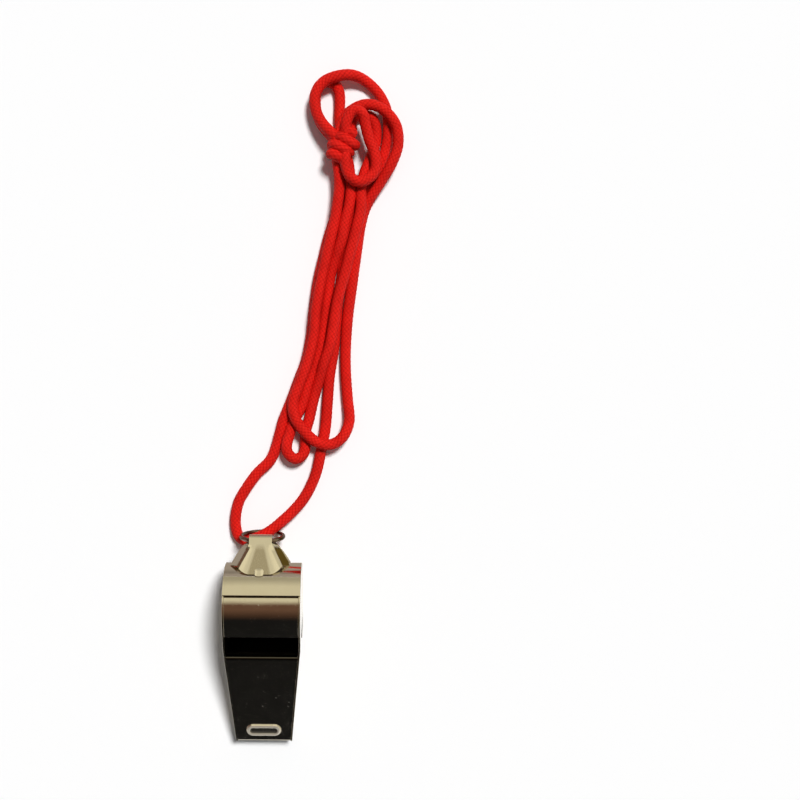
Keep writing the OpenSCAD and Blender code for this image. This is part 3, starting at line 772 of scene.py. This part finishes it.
RING_LOOP = [[15.5, 124.5, 5.2], [13, 127.5, 4.2], [11.5, 131, TOP], [11.5, 134.5, TOP], [13.5, 137.5, TOP],
             [17, 139, TOP], [20.7, 139.5, 2.8], [24.1, 138.3, 1.6], [27.2, 135.4, LOW], [29.2, 131.5, LOW],
             [29.7, 127.5, LOW], [29.5, 123, LOW], [28.2, 118.5, LOW], [26.3, 114.5, LOW], [23, 110, LOW],
             [21, 106, LOW], [20, 101.5, LOW], [19.5, 96, LOW], [18.5, 90, LOW], [17.5, 83.5, LOW],
             [17, 77.5, LOW], [16.5, 71, LOW], [15.5, 64.5, LOW], [15, 58, LOW], [14.5, 51.5, LOW],
             [13.5, 46, LOW], [12.5, 41, LOW], [11, 37, LOW], [9, 33.5, 1.5], [6.5, 30.6, 2], [4, 28.3, 2.6],
             [1.6, 26.3, 3], [-0.9, 24.8, 3.1], [-3.2, 23.8, 2.9], [-5.2, 23.3, 2.4], [-6.9, 24.3, 1.9],
             [-7.7, 26.4, 1.5], [-7.8, 29.3, 1.3], [-7, 33, LOW], [-5, 36.5, LOW], [-2.5, 40, LOW],
             [0.5, 43, LOW], [2, 46, LOW], [3, 49.5, LOW], [4.05, 53.5, LOW], [5.8, 58, LOW], [7.6, 63, LOW],
             [9.6, 68.5, LOW], [10.8, 74.5, LOW], [11.5, 81.5, LOW], [12.5, 88.5, LOW], [14, 95, LOW],
             [15.5, 101, LOW], [17.5, 107, LOW], [18, 112.5, LOW], [18, 118.5, LOW], [18, 124, LOW],
             [17.5, 129, LOW], [17.6, 133, LOW], [17.4, 135.6, LOW], [16.4, 137.5, LOW], [14.5, 138.2, LOW],
             [12.6, 137.4, LOW], [11.6, 135.4, LOW], [11.5, 132, LOW], [12.3, 129, LOW], [13.8, 126.5, 1.5],
             [15.5, 124.5, 2.1]]

BIGHT = [[19, 118.5, 6.1], [19.3, 115.7, HIGH], [20.4, 113.3, HIGH], [22.6, 112.3, 6.2],
         [24.9, 113.3, 5.8], [26.5, 115.6, 5.4], [26.3, 119.4, 5.3], [24.9, 123, 5.3], [23.9, 126.5, 5.8],
         [23.3, 128.8, HIGH], [21.8, 129.8, HIGH], [20.3, 129.1, HIGH], [19.3, 127, HIGH], [19, 124.5, 5.9]]

KNOT_AT = np.array([18.5, 121.5, 4.7]) * MM
KNOT_TURN = math.radians(52)
# Half the width and half the height of the knot's turns, at the cord's middle
KNOT_WIDE, KNOT_HIGH = 2.2 * MM, 1.75 * MM
UP = np.array([0, 0, 1.0])


def tucked(route):
    """The route with both ends carried on into the knot, 0.6 of the way to its middle."""
    ends = route[[0, -1]] + 0.6 * (KNOT_AT - route[[0, -1]])
    return np.concatenate([ends[:1], route, ends[1:]])


def even_steps(path):
    """A path's points at even steps, and the length run along it at each."""
    run = np.concatenate([[0], np.cumsum(np.linalg.norm(np.diff(path, axis=0), axis=1))])
    s = np.linspace(0, run[-1], int(round(run[-1] / CORD_STEP)) + 1)
    return np.stack([np.interp(s, run, path[:, k]) for k in range(3)], -1), s


def smooth_path(route):
    """A cubic through the route's points, whose slope at each is half the chord between its neighbours."""
    p = np.concatenate([2 * route[:1] - route[1:2], route, 2 * route[-1:] - route[-2:-1]])
    t = np.linspace(0, 1, 24, endpoint=False)[None, :, None]
    a, b, c, d = (p[k:len(p) - 3 + k][:, None, :] for k in range(4))
    curve = 0.5 * (2 * b + (c - a) * t + (2 * a - 5 * b + 4 * c - d) * t ** 2
                   + (3 * b - a - 3 * c + d) * t ** 3)
    return even_steps(np.concatenate([curve.reshape(-1, 3), route[-1:]]))


def braid_tube(name, path, s, side):
    """A braided tube round a path. Eight strands turn each way; s is the run along the path and a the
    angle round it from the side direction, made square to the path. A strand is half round across
    its width, and it is on top in every other cell that it shares with a strand of the other way.
    The crown attribute is the braid's height, from 0 between strands to 1 on top of one. The whole
    tube swells and thins by a few hundredths, in two slow waves along it."""
    tangent = np.gradient(path, axis=0)
    tangent /= np.linalg.norm(tangent, axis=1, keepdims=True)
    side = side - (side * tangent).sum(1, keepdims=True) * tangent
    side /= np.linalg.norm(side, axis=1, keepdims=True)
    normal = np.cross(side, tangent)
    sides, strands, lay = 36, 8, 1.15 * MM
    a = np.linspace(0, 2 * math.pi, sides, endpoint=False)[None, :]
    one = s[:, None] / lay + strands * a / (2 * math.pi)
    two = s[:, None] / lay - strands * a / (2 * math.pi)
    over = (np.floor(one) + np.floor(two)) % 2 == 0
    round_one, round_two = np.sin(math.pi * (one % 1)), np.sin(math.pi * (two % 1))
    crown = np.where(over, round_one ** 0.6 * (0.55 + 0.45 * round_two),
                     round_two ** 0.6 * (0.55 + 0.45 * round_one))
    swell = 1 + 0.015 * np.sin(s / (9 * MM)) + 0.01 * np.sin(s / (3.7 * MM) + 1)
    radius = CORD_D / 2 * (0.94 + 0.06 * crown) * swell[:, None]
    around = np.cos(a)[..., None] * side[:, None, :] + np.sin(a)[..., None] * normal[:, None, :]
    points = path[:, None, :] + radius[..., None] * around
    rows = len(path)
    faces = [list(f) for f in grid_faces(rows, sides, wrap=True)]
    faces += [list(range(sides))[::-1], list(range((rows - 1) * sides, rows * sides))]
    piece = new_piece(name, points.reshape(-1, 3), faces, BRAID, closed=True)
    # The material paints highlight and shade from this height
    add_layer(piece, "crown", crown)
    return piece


def dress_cord(piece, node):
    """The cord stays lying on the surface, on no body: its placing is baked into its points, and the part
    that it stands for is hidden."""
    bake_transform(piece)
    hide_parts(node)


def make_knot():
    """Three turns of cord wound aslant round the strands: a flattened helix about a level axis, whose
    ends dive under the turns."""
    turns, pitch, first_angle = 3.2, 2.3 * MM, 0.6
    t = np.linspace(0, 1, 400)
    angle = (2 * math.pi * turns * t + first_angle)[:, None]
    axis = np.array([math.cos(KNOT_TURN), math.sin(KNOT_TURN), 0])
    aside = np.array([-axis[1], axis[0], 0])
    spread = (1 - 0.5 * np.abs(2 * t - 1) ** 10)[:, None]
    out = spread * (KNOT_WIDE * np.cos(angle) * aside + KNOT_HIGH * np.sin(angle) * UP)
    path, s = even_steps(KNOT_AT + ((t - 0.5) * turns * pitch)[:, None] * axis + out)
    from_axis = path - KNOT_AT
    from_axis = from_axis - (from_axis @ axis)[:, None] * axis
    knot = braid_tube("lanyard_knot_wraps", path, s, from_axis)
    dress_cord(knot, "lanyard_knot")
    return knot


def make_lanyard():
    """The four stretches and the knot that holds them."""
    knot = make_knot()
    for name, route, node in (("cord_ring_loop", RING_LOOP, "lanyard_ring_loop"),
                              ("cord_outer_loop", OUTER, "lanyard_outer_loop"),
                              ("cord_curl_loop", CURL, "lanyard_curl_loop"),
                              ("cord_bight", BIGHT, "lanyard_bight")):
        path, s = smooth_path(tucked(np.array(route) * MM))
        path[:, 2] = np.maximum(path[:, 2], LYING)
        side = np.cross(np.gradient(path, axis=0), UP)
        piece = braid_tube(name, path, s, side)
        dress_cord(piece, node)


make_lanyard()
make_barrel_band()
make_wind_cutter()
make_seam_solder()
make_cheek(-1, "left_cheek_plate", "left_cheek")
make_cheek(1, "right_cheek_plate", "right_cheek")
make_roof()
make_floor()
make_windway_plate()
make_lug()
make_ring()
make_pea()


# Stage

# The cards that the metal mirrors: half the width and the radius of the arch, and the angle from
# straight up to its feet
HALF_CARD = 0.7
ARCH_R = 0.9
ARCH_DEG = 100
# Level cards, by two corners and their height: behind the whistle, before the mouth's tip and beside it
BEHIND = (-0.4, 0.0192, 0.4, 0.7, 0.1 * MM)
BEFORE = (-0.02, -0.036, 0.02, -0.0262, 0.1 * MM)
BESIDE = (0.013, -0.02, 0.09, 0.07, 0.2 * MM)
HALF_FLOOR = 1.5
# The room's tones: one plain choice for each thing in it that the metal mirrors
WHITE_PAPER = (0.95, 0.95, 0.9)
DARK_ROOM = (0.01, 0.01, 0.01)
BROWN_CEILING = (0.15, 0.08, 0.05)
PALE_WALL = (0.75, 0.7, 0.5)
WARM_TABLE = (0.4, 0.35, 0.3)
OLIVE_CLOTH = (0.15, 0.1, 0.02)


def seamless_paper():
    """Matt white backdrop paper, with no sheen."""
    material, tree, _ = new_material("seamless_paper")
    shader = add_node(tree, "ShaderNodeBsdfDiffuse", {"Color": grey(1.0)})
    return finished(material, shader.outputs["BSDF"])


def flat_card(x0, y0, x1, y1, z):
    """The four corners of a level card, from two of them and its height."""
    return [[x0, y0, z], [x1, y0, z], [x0, y1, z], [x1, y1, z]]


def add_floor():
    """A wide sheet of matt white paper."""
    corners = flat_card(-HALF_FLOOR, -HALF_FLOOR, HALF_FLOOR, HALF_FLOOR, 0)
    new_piece("paper_floor", corners, [[0, 1, 3, 2]], seamless_paper())


def card_light(name, share, stops, side_stops=(), strength=1.0):
    """A glowing card. Its colour follows a share, a function of the tree and the place's X, Y and Z,
    by stops of (share, linear colour). With side stops of (X, grey), that colour is dimmed by X."""
    material, tree, place = new_material(name)
    axes = add_node(tree, "ShaderNodeSeparateXYZ", {"Vector": place}).outputs
    colour = add_node(tree, "ShaderNodeValToRGB", {"Fac": share(tree, axes)},
                      stops=[(at, (*rgb, 1)) for at, rgb in stops]).outputs["Color"]
    if side_stops:
        side = add_node(tree, "ShaderNodeMapRange", {
            "Value": axes["X"], "From Min": -HALF_CARD, "From Max": HALF_CARD})
        gain = add_node(tree, "ShaderNodeValToRGB", {"Fac": side.outputs["Result"]}, stops=[
            (0.5 + at / HALF_CARD / 2, grey(dimmed)) for at, dimmed in side_stops]).outputs["Color"]
        colour = add_node(tree, "ShaderNodeMix", {"Factor": 1.0, "A": colour, "B": gain},
                          data_type="RGBA", blend_type="MULTIPLY").outputs["Result"]
    shader = add_node(tree, "ShaderNodeEmission", {"Color": colour, "Strength": strength})
    return finished(material, shader.outputs["Emission"])


def round_the_arch(tree, axes):
    """The share of the way round the arch, from its foot on the mouth's side to the other."""
    angle = add_node(tree, "ShaderNodeMath", {0: axes["Y"], 1: axes["Z"]}, operation="ARCTAN2")
    return add_node(tree, "ShaderNodeMapRange", {
        "Value": angle.outputs["Value"], "From Min": math.radians(-ARCH_DEG),
        "From Max": math.radians(ARCH_DEG)}).outputs["Result"]


def tenths_along(axis, way=1):
    """A share that is the place's X or Y in tenths of a metre, or with way -1 the negative of that."""
    return lambda tree, axes: add_node(tree, "ShaderNodeMath", {
        0: axes[axis], 1: 10.0 * way}, operation="MULTIPLY").outputs["Value"]


def shade(tone, share):
    """A tone dimmed to a share of its light."""
    return tuple(share * value for value in tone)


def reflected_room():
    """What the polished metal mirrors overhead, by degrees from straight up towards the lanyard: white at
    the horizon on the mouth's side, then a dark room, a brown ceiling straight above, and a pale wall on
    the lanyard's side, dimmer near the horizon. It is a little dimmer over the whistle than to its left
    and right, and dark far out on the left."""
    degrees = [
        (-80, WHITE_PAPER), (-75, DARK_ROOM), (-35, DARK_ROOM), (-20, shade(BROWN_CEILING, 0.5)),
        (-5, BROWN_CEILING), (8, BROWN_CEILING), (20, PALE_WALL), (60, PALE_WALL),
        (80, shade(PALE_WALL, 0.6))]
    return card_light("reflected_room", round_the_arch,
                      [(0.5 + at / ARCH_DEG / 2, rgb) for at, rgb in degrees],
                      [(-.55, .2), (-.48, 1), (-.27, 1), (-.19, .8), (.05, .8), (.13, 1)], strength=1.25)


def reflected_table():
    """The table on the lanyard's side: warm grey, with a darker band halfway along the cord."""
    return card_light("reflected_table", tenths_along("Y"), [
        (0.4, WARM_TABLE), (0.6, shade(WARM_TABLE, 0.7)), (0.8, shade(WARM_TABLE, 0.7)), (1, WARM_TABLE)])


def reflected_dark():
    """A dull olive card beside the whistle, which the lug's right flange mirrors."""
    return card_light("reflected_dark", tenths_along("X"), [
        (0.1, OLIVE_CLOTH), (0.5, shade(OLIVE_CLOTH, 0.6))])


def reflected_shadow():
    """The table before the mouth's tip: in the whistle's shadow, and white past it."""
    return card_light("reflected_shadow", tenths_along("Y", -1), [
        (0.27, shade(WHITE_PAPER, 0.03)), (0.31, shade(WHITE_PAPER, 0.1)), (0.36, shade(WHITE_PAPER, 0.9))])


def reflected_left():
    """The room's wall on the left: brown high up, and as pale as the table near it."""
    return card_light("reflected_left", lambda tree, axes: axes["Z"], [
        (0.05, WARM_TABLE), (0.12, BROWN_CEILING), (0.9, shade(BROWN_CEILING, 0.8))])


def reflected_right():
    """The room's wall on the right: pale, and a little darker high up."""
    return card_light("reflected_right", lambda tree, axes: axes["Z"], [
        (0, shade(PALE_WALL, 0.8)), (0.9, shade(PALE_WALL, 0.7))])


def add_card(name, points, material, rows=2, columns=2):
    """A card that only mirrors see."""
    card = new_piece(name, points, grid_faces(rows, columns), material)
    card.visible_camera = False
    card.visible_diffuse = False
    card.visible_shadow = False
    card.visible_transmission = False


def add_cards():
    """An arch high over the whistle, which is an arc in Y and Z carried along X, upright cards at its two
    ends, one on the table behind the whistle, and small dark ones before and beside it."""
    t = np.radians(np.linspace(-ARCH_DEG, ARCH_DEG, 81))[:, None]
    x = np.linspace(-HALF_CARD, HALF_CARD, 9)[None, :] + 0 * t
    arch = np.stack([x, ARCH_R * np.sin(t) + 0 * x, ARCH_R * np.cos(t) + 0 * x], -1)
    add_card("card_overhead", arch.reshape(-1, 3), reflected_room(), *x.shape)
    for name, x, wall in (("card_left", -HALF_CARD, reflected_left()),
                          ("card_right", HALF_CARD, reflected_right())):
        add_card(name, [[x, -ARCH_R, 0], [x, ARCH_R, 0], [x, -ARCH_R, ARCH_R], [x, ARCH_R, ARCH_R]], wall)
    add_card("card_on_table", flat_card(*BEHIND), reflected_table())
    add_card("card_before", flat_card(*BEFORE), reflected_shadow())
    add_card("card_beside", flat_card(*BESIDE), reflected_dark())


def set_world():
    """A white room: full white where the camera, a mirror or glass sees it, and an even soft light on
    the rest."""
    world = bpy.data.worlds.new("white_room")
    world.use_nodes = True
    tree = world.node_tree
    tree.nodes.clear()
    path = add_node(tree, "ShaderNodeLightPath").outputs
    seen = add_node(tree, "ShaderNodeMath", {0: path["Is Camera Ray"], 1: path["Is Glossy Ray"]},
                    operation="MAXIMUM")
    seen = add_node(tree, "ShaderNodeMath", {0: seen.outputs["Value"], 1: path["Is Transmission Ray"]},
                    operation="MAXIMUM")
    level = add_node(tree, "ShaderNodeMapRange", {
        "Value": seen.outputs["Value"], "To Min": 0.13, "To Max": 1.0})
    shader = add_node(tree, "ShaderNodeBackground", {
        "Strength": level.outputs["Result"], "Color": grey(1.0)})
    add_node(tree, "ShaderNodeOutputWorld", {"Surface": shader.outputs["Background"]})
    bpy.context.scene.world = world


add_floor()
add_cards()
set_world()
